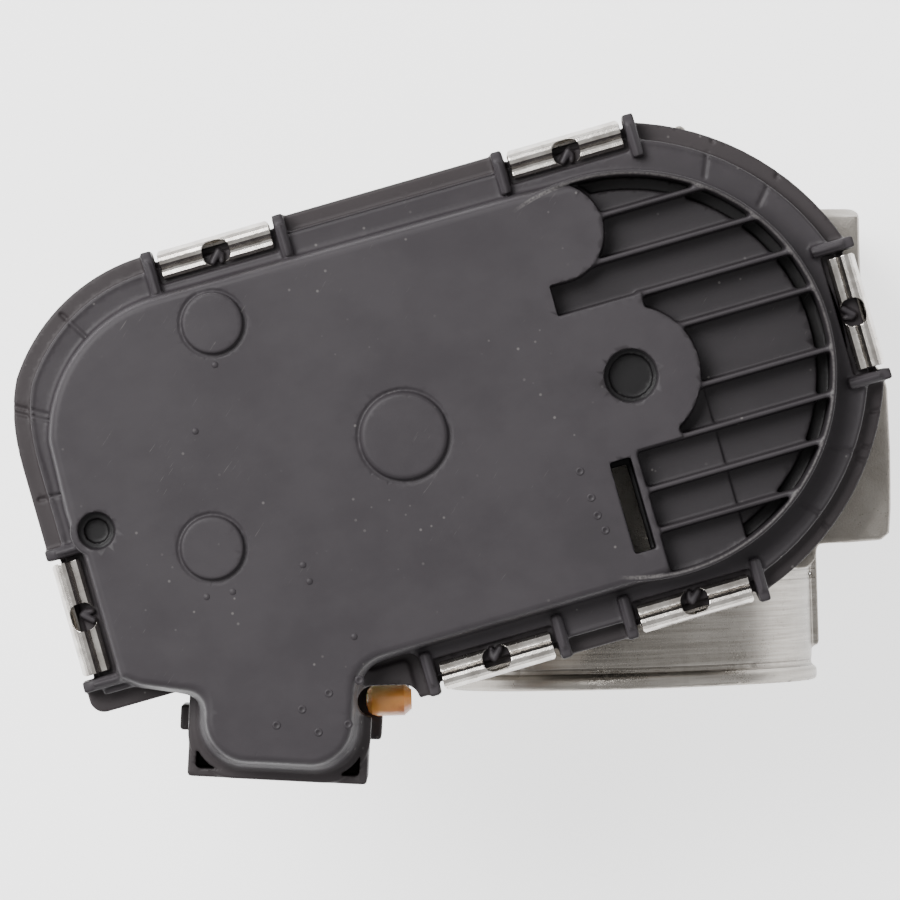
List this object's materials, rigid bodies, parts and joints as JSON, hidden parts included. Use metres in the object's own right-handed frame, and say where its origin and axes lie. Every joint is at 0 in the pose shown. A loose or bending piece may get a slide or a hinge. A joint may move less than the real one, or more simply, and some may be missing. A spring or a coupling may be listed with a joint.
{
  "type": "electronic throttle body",
  "caption": "Electronic throttle body: cast housing with air bore and butterfly valve, motor and reduction gears under a clipped moulded cover with connector.",
  "frame": {"origin": "centre of the bounding box at the height of the lowest faces, the ends of the lower bolt columns", "axes": "+Y along the air bore, from the hose spigot to the manifold face; +Z along the throttle shaft, towards the gear cover; +X across the bore, away from the motor"},
  "size_m": [0.151, 0.1132, 0.0964],
  "materials": {
    "cast_aluminium": "satin die-cast and machined aluminium, warm grey",
    "black_plastic": "moulded glass-filled plastic, charcoal black, fine mould grain",
    "clip_steel": "bright nickel-plated spring steel",
    "steel": "ground and turned steel",
    "zinc_steel": "zinc-plated pressed steel",
    "brass": "bare brass, satin",
    "gear_plastic": "natural acetal, slightly translucent cream",
    "rubber": "black fluoro-rubber",
    "amber_plastic": "glossy amber plastic",
    "ferrite": "dark sintered ferrite",
    "circuit_board": "green solder mask with pale pads"
  },
  "bodies": {
    "housing": {"throttle_housing": "cast_aluminium", "gear_cover": "black_plastic", "cover_clip_top_left": "clip_steel", "cover_clip_top_right": "clip_steel", "cover_clip_left": "clip_steel", "cover_clip_bottom_left": "clip_steel", "cover_clip_bottom_right": "clip_steel", "cover_clip_right": "clip_steel", "cover_gasket": "rubber", "closing_stop_screw": "steel", "intermediate_pin": "steel", "motor_can": "zinc_steel", "motor_magnet_upper": "ferrite", "motor_magnet_lower": "ferrite", "motor_brush_plate": "black_plastic", "motor_mounting_plate": "zinc_steel", "motor_screw_1": "steel", "motor_screw_2": "steel", "motor_washer": "steel", "motor_contact_upper": "brass", "motor_contact_lower": "brass", "sensor_board": "circuit_board", "vent_cap": "amber_plastic", "flange_seal": "rubber", "shaft_bearing_gear_side": "steel", "shaft_bearing_far_side": "steel", "shaft_seal": "rubber", "shaft_end_plug": "steel", "return_spring": "steel", "terminal_1": "brass", "terminal_2": "brass", "terminal_3": "brass", "terminal_4": "brass", "terminal_5": "brass", "terminal_6": "brass"},
    "throttle": {"throttle_shaft": "steel", "throttle_plate": "brass", "plate_screw_1": "steel", "plate_screw_2": "steel", "throttle_gear": "gear_plastic", "sensor_target": "brass"},
    "intermediate": {"intermediate_gear": "gear_plastic"},
    "rotor": {"motor_armature": "steel", "motor_pinion": "brass"}
  },
  "joints": [
    {"name": "throttle_turn", "type": "hinge", "parent": "housing", "child": "throttle", "pos_m": [0.03077, 0.0118, 0.039], "axis": [0, 0, 1], "range_deg": [-6, 76], "stiffness_Nm_per_rad": 0.3},
    {"name": "intermediate_spin", "type": "hinge", "parent": "housing", "child": "intermediate", "pos_m": [-0.00816, 0.0026, 0.089], "axis": [0, 0, 1], "range_deg": [-305, 25]},
    {"name": "motor_spin", "type": "hinge", "parent": "housing", "child": "rotor", "pos_m": [-0.04364, 0.00365, 0.049], "axis": [0, 0, 1], "range_deg": [-119, 1496]}
  ],
  "couplings": [
    {"joint": "intermediate_spin", "follows": "throttle_turn", "ratio": -4},
    {"joint": "motor_spin", "follows": "throttle_turn", "ratio": 19.667}
  ]
}
